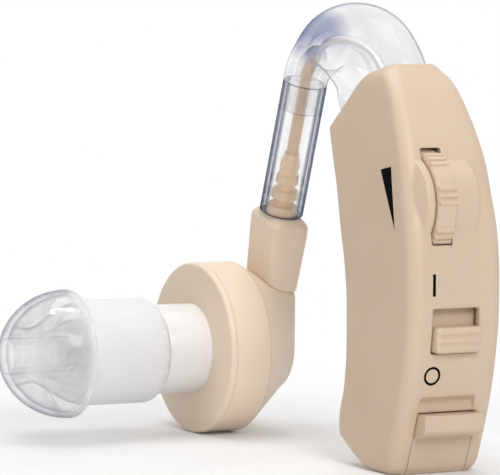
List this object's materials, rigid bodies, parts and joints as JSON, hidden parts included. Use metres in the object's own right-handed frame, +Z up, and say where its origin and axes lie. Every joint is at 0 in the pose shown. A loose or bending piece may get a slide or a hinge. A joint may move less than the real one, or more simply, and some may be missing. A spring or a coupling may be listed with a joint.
{
  "type": "behind the ear hearing aid",
  "caption": "Curved case worn behind the ear, with clear ear hook, cable in a clear sleeve and a drum-shaped receiver carrying a soft domed ear tip.",
  "frame": {"origin": "middle of the flat foot face of the case, on the surface that the case and the receiver drum stand on", "axes": "+Z up, +Y from the case towards the hook and receiver, +X across the case, so the ear tip points along -X and the convex back of the case faces -Y"},
  "size_m": [0.0354, 0.0504, 0.0466],
  "materials": {
    "case": "satin moulded beige",
    "receiver_plastic": "satin moulded cream",
    "cable": "satin",
    "clear_plastic": "clear",
    "silicone": "translucent",
    "white_plastic": "smooth",
    "steel": "turned",
    "cell_steel": "nickel plate",
    "dark_steel": "plated",
    "magnet": "nickel plate",
    "copper": "enamelled wire",
    "film": "thin film",
    "dark_plastic": "moulded",
    "board": "solder mask",
    "capacitor_sleeve": "shrink sleeve",
    "brass": "gold flash",
    "black_rubber": "matte"
  },
  "bodies": {
    "root": {"main_shell": "case", "side_cover": "case", "volume_potentiometer": "dark_plastic", "circuit_board": "board", "amplifier_chip": "dark_plastic", "capacitors": "capacitor_sleeve", "microphone": "brass", "microphone_boot": "black_rubber", "switch_body": "dark_plastic", "hinge_pin": "steel", "positive_contact": "brass", "negative_contact": "brass", "ear_hook": "clear_plastic", "hook_pin": "steel", "clear_sleeve": "clear_plastic", "receiver_cable": "cable"},
    "wheel": {"volume_wheel": "case", "wheel_screw": "steel"},
    "switch": {"switch_knob": "case"},
    "door": {"battery_door": "case", "button_cell": "cell_steel"},
    "receiver": {"strain_relief_boot": "cable", "neck_block": "receiver_plastic", "receiver_rear_housing": "receiver_plastic", "receiver_drum": "receiver_plastic", "receiver_front_cap": "receiver_plastic", "driver_yoke": "dark_steel", "driver_magnet": "magnet", "pole_plate": "dark_steel", "voice_coil": "copper", "diaphragm": "film", "nozzle": "white_plastic", "wax_screen": "steel"},
    "tip": {"ear_tip": "silicone"}
  },
  "joints": [
    {"name": "volume_turn", "type": "hinge", "parent": "root", "child": "wheel", "pos_m": [-0.00173, -0.00068, 0.027], "axis": [1, 0, 0], "range_deg": [-135, 135]},
    {"name": "switch_slide", "type": "slide", "parent": "root", "child": "switch", "axis": [0, 0, 1], "range_m": [0, 0.0017]},
    {"name": "door_swing", "type": "hinge", "parent": "root", "child": "door", "pos_m": [0, 0.0067, 0.0034], "axis": [1, 0, 0], "range_deg": [0, 75]},
    {"name": "receiver_swivel", "type": "hinge", "parent": "root", "child": "receiver", "pos_m": [0, 0.02996, 0.02391], "axis": [0, 0.319, -0.9478], "range_deg": [-30, 180]},
    {"name": "tip_pull_off", "type": "slide", "parent": "receiver", "child": "tip", "axis": [-1, 0, 0], "range_m": [0, 0.006]}
  ]
}
